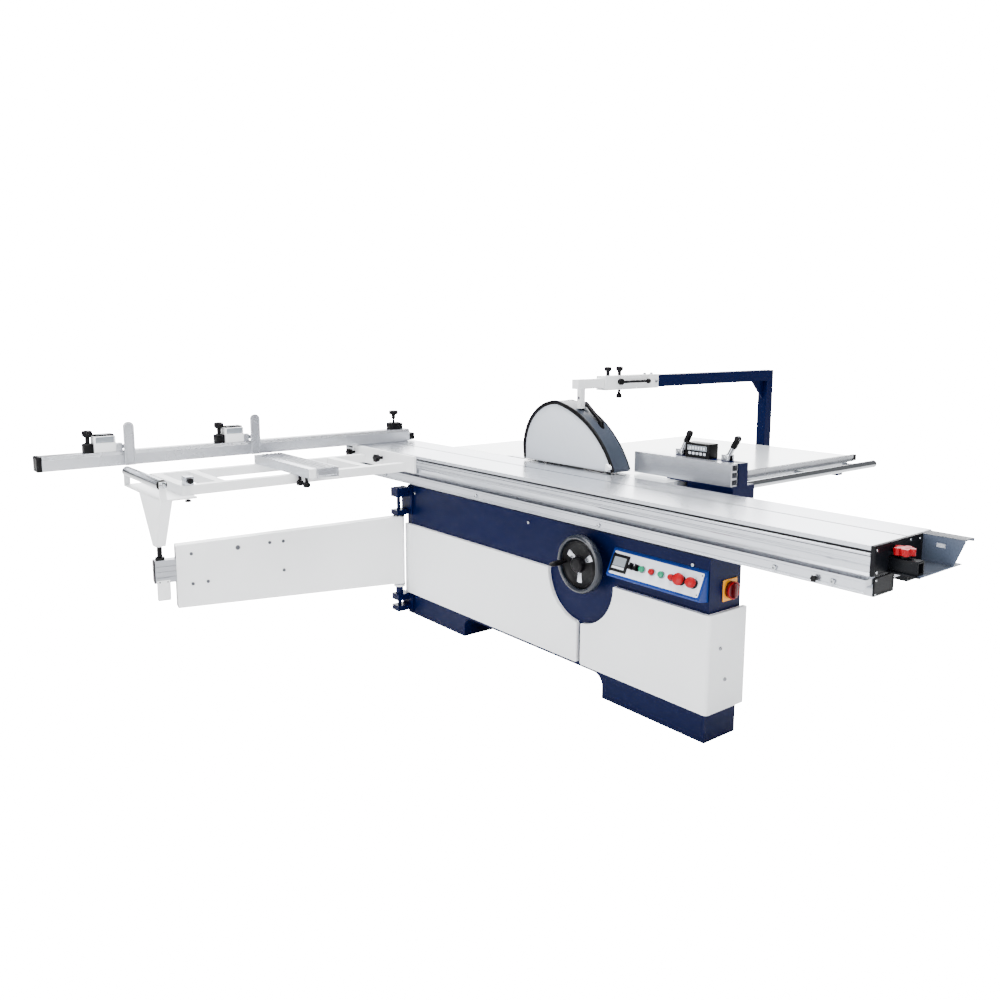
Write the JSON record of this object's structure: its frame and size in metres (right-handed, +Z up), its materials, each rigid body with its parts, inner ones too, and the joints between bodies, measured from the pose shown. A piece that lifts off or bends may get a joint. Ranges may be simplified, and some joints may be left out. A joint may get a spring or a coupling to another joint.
{
  "type": "panel saw",
  "caption": "Sliding-table panel saw: tilting blade in a cabinet, long sliding table with outrigger and crosscut fence, rip fence, extension table and overhead guard.",
  "frame": {"origin": "on the floor, directly below the main blade's axle and in the blade's plane", "axes": "+X along the sliding table's travel towards the operator's end, +Y across it towards the rip fence and extension table, +Z up"},
  "size_m": [3.343, 3.663, 1.304],
  "materials": {
    "blue_paint": "satin",
    "white_paint": "satin",
    "cover_paint": "satin",
    "aluminium": "anodised satin",
    "table_iron": "ground smooth",
    "chrome": "polished",
    "steel": "brushed",
    "black_plastic": "matte",
    "slate_plastic": "satin",
    "panel_foil": "satin",
    "red_plastic": "gloss",
    "green_plastic": "gloss",
    "motor_paint": "satin",
    "belt_rubber": "matte"
  },
  "bodies": {
    "machine": {"cabinet_body": "blue_paint", "left_cover": "cover_paint", "right_cover": "cover_paint", "fixing_bolts": "steel", "control_panel": "blue_paint", "panel_face": "panel_foil", "button_bezels": "black_plastic", "fixed_rail": "aluminium", "cast_table": "table_iron", "table_insert": "aluminium", "extension_table": "table_iron", "extension_frame": "blue_paint", "guide_bar": "chrome", "scale_rail": "aluminium", "guard_post": "blue_paint", "guard_sleeve": "white_paint", "arm_hinge": "blue_paint"},
    "carriage": {"roller_carriage": "steel"},
    "table": {"sliding_table": "aluminium", "end_tray": "slate_plastic", "crosscut_frame": "white_paint", "clamp_knobs": "black_plastic", "support_profile": "aluminium", "outrigger_leg": "white_paint", "crosscut_fence": "aluminium"},
    "lock": {"lock_handle": "red_plastic"},
    "roller": {"outrigger_roller": "chrome"},
    "extension": {"fence_extension": "aluminium"},
    "stop_a": {"stop_a": "white_paint"},
    "flap_a": {"stop_a_flap": "aluminium"},
    "stop_b": {"stop_b": "white_paint"},
    "flap_b": {"stop_b_flap": "aluminium"},
    "arm": {"swing_arm": "white_paint"},
    "beam": {"inner_beam": "aluminium"},
    "rip_head": {"rip_fence_head": "blue_paint"},
    "rip_rail": {"rip_fence": "aluminium"},
    "lever_a": {"rip_lever_a": "black_plastic"},
    "lever_b": {"rip_lever_b": "black_plastic"},
    "guard_slide": {"guard_tube": "chrome"},
    "guard": {"guard_hanger": "steel", "guard_hood": "slate_plastic"},
    "guard_lock": {"guard_lever": "black_plastic"},
    "tilt": {"tilt_frame": "table_iron"},
    "rise": {"arbor_block": "table_iron", "motors": "motor_paint", "drive_belt": "belt_rubber"},
    "arbor": {"main_arbor": "steel", "main_blade": "steel"},
    "motor_shaft": {"motor_pulley": "steel"},
    "scoring": {"scoring_arbor": "steel"},
    "wheel": {"handwheel": "black_plastic"},
    "green_a": {"green_button_a": "green_plastic"},
    "green_b": {"green_button_b": "green_plastic"},
    "red_a": {"red_button_a": "red_plastic"},
    "red_b": {"red_button_b": "red_plastic"},
    "stop_push": {"stop_button": "red_plastic"},
    "emergency": {"emergency_stop": "red_plastic"},
    "turn_a": {"selector_a": "black_plastic"},
    "turn_b": {"selector_b": "black_plastic"},
    "mains": {"main_switch": "red_plastic"}
  },
  "joints": [
    {"name": "table_slide", "type": "slide", "parent": "machine", "child": "table", "axis": [1, 0, 0], "range_m": [-1.55, 1.55]},
    {"name": "carriage_slide", "type": "slide", "parent": "machine", "child": "carriage", "axis": [1, 0, 0], "range_m": [-0.775, 0.775]},
    {"name": "table_lock", "type": "hinge", "parent": "table", "child": "lock", "pos_m": [1.803, -0.28, 0.8293], "axis": [0, 0, 1], "range_deg": [0, 90]},
    {"name": "roller_spin", "type": "hinge", "parent": "table", "child": "roller", "pos_m": [-1, -1.685, 0.85], "axis": [1, 0, 0], "continuous": true},
    {"name": "fence_extend", "type": "slide", "parent": "table", "child": "extension", "axis": [0, -1, 0], "range_m": [0, 0.9]},
    {"name": "stop_a_slide", "type": "slide", "parent": "table", "child": "stop_a", "axis": [0, 1, 0], "range_m": [-0.15, 0.2]},
    {"name": "stop_a_flip", "type": "hinge", "parent": "stop_a", "child": "flap_a", "pos_m": [-1.29, -1.672, 0.97], "axis": [0, -1, 0], "range_deg": [0, 90]},
    {"name": "stop_b_slide", "type": "slide", "parent": "table", "child": "stop_b", "axis": [0, 1, 0], "range_m": [-0.2, 0.6]},
    {"name": "stop_b_flip", "type": "hinge", "parent": "stop_b", "child": "flap_b", "pos_m": [-1.29, -1.032, 0.97], "axis": [0, -1, 0], "range_deg": [0, 90]},
    {"name": "arm_swing", "type": "hinge", "parent": "machine", "child": "arm", "pos_m": [-0.845, -0.415, 0.3], "axis": [0, 0, 1], "range_deg": [-51, 51]},
    {"name": "arm_extend", "type": "slide", "parent": "arm", "child": "beam", "axis": [-0.1885, -0.9821, 0], "range_m": [0, 0.73]},
    {"name": "rip_slide", "type": "slide", "parent": "machine", "child": "rip_head", "axis": [0, 1, 0], "range_m": [0, 1.22]},
    {"name": "rip_fore_aft", "type": "slide", "parent": "rip_head", "child": "rip_rail", "axis": [1, 0, 0], "range_m": [0, 0.2]},
    {"name": "rip_lever_a", "type": "hinge", "parent": "rip_head", "child": "lever_a", "pos_m": [0.575, 0.1593, 0.9903], "axis": [0, 1, 0], "range_deg": [-60, 0]},
    {"name": "rip_lever_b", "type": "hinge", "parent": "rip_head", "child": "lever_b", "pos_m": [0.819, 0.1593, 0.9903], "axis": [0, 1, 0], "range_deg": [-60, 20]},
    {"name": "guard_cross", "type": "slide", "parent": "machine", "child": "guard_slide", "axis": [0, 1, 0], "range_m": [-0.07, 0.018]},
    {"name": "guard_height", "type": "slide", "parent": "guard_slide", "child": "guard", "axis": [0, 0, 1], "range_m": [0, 0.06]},
    {"name": "guard_lock", "type": "hinge", "parent": "machine", "child": "guard_lock", "pos_m": [0.12, 0.24, 1.275], "axis": [1, 0, 0], "range_deg": [-30, 80]},
    {"name": "blade_tilt", "type": "hinge", "parent": "machine", "child": "tilt", "pos_m": [0, 0, 0.875], "axis": [-1, 0, 0], "range_deg": [0, 45]},
    {"name": "blade_rise", "type": "slide", "parent": "tilt", "child": "rise", "axis": [0, 0, 1], "range_m": [-0.08, 0.01]},
    {"name": "arbor_spin", "type": "hinge", "parent": "rise", "child": "arbor", "pos_m": [0, 0, 0.795], "axis": [0, -1, 0], "continuous": true},
    {"name": "motor_spin", "type": "hinge", "parent": "rise", "child": "motor_shaft", "pos_m": [0.06, 0.04, 0.6], "axis": [0, -1, 0], "continuous": true},
    {"name": "scoring_spin", "type": "hinge", "parent": "rise", "child": "scoring", "pos_m": [0.29, 0, 0.818], "axis": [0, 1, 0], "continuous": true},
    {"name": "height_wheel", "type": "hinge", "parent": "machine", "child": "wheel", "pos_m": [0.538, -0.425, 0.566], "axis": [0, -1, 0], "range_deg": [-5760, 720]},
    {"name": "green_a_push", "type": "slide", "parent": "machine", "child": "green_a", "axis": [0, 0.9052, -0.4249], "range_m": [0, 0.004], "stiffness_N_per_m": 400},
    {"name": "green_b_push", "type": "slide", "parent": "machine", "child": "green_b", "axis": [0, 0.9052, -0.4249], "range_m": [0, 0.004], "stiffness_N_per_m": 400},
    {"name": "red_a_push", "type": "slide", "parent": "machine", "child": "red_a", "axis": [0, 0.9052, -0.4249], "range_m": [0, 0.004], "stiffness_N_per_m": 400},
    {"name": "red_b_push", "type": "slide", "parent": "machine", "child": "red_b", "axis": [0, 0.9052, -0.4249], "range_m": [0, 0.004], "stiffness_N_per_m": 400},
    {"name": "stop_push", "type": "slide", "parent": "machine", "child": "stop_push", "axis": [0, 0.9052, -0.4249], "range_m": [0, 0.005], "stiffness_N_per_m": 400},
    {"name": "emergency_push", "type": "slide", "parent": "machine", "child": "emergency", "axis": [0, 0.9052, -0.4249], "range_m": [0, 0.005], "stiffness_N_per_m": 400},
    {"name": "selector_a_turn", "type": "hinge", "parent": "machine", "child": "turn_a", "pos_m": [0.802, -0.389, 0.606], "axis": [0, -0.9052, 0.4249], "range_deg": [-45, 45]},
    {"name": "selector_b_turn", "type": "hinge", "parent": "machine", "child": "turn_b", "pos_m": [0.83, -0.389, 0.606], "axis": [0, -0.9052, 0.4249], "range_deg": [-45, 45]},
    {"name": "mains_turn", "type": "hinge", "parent": "machine", "child": "mains", "pos_m": [1.16, -0.245, 0.572], "axis": [1, 0, 0], "range_deg": [0, 90]}
  ],
  "couplings": [
    {"joint": "carriage_slide", "follows": "table_slide", "ratio": 0.5},
    {"joint": "arm_swing", "follows": "table_slide", "rad_per_m": 0.57},
    {"joint": "blade_rise", "follows": "height_wheel", "m_per_rad": 0.00079577},
    {"joint": "motor_spin", "follows": "arbor_spin", "ratio": 0.77778}
  ]
}
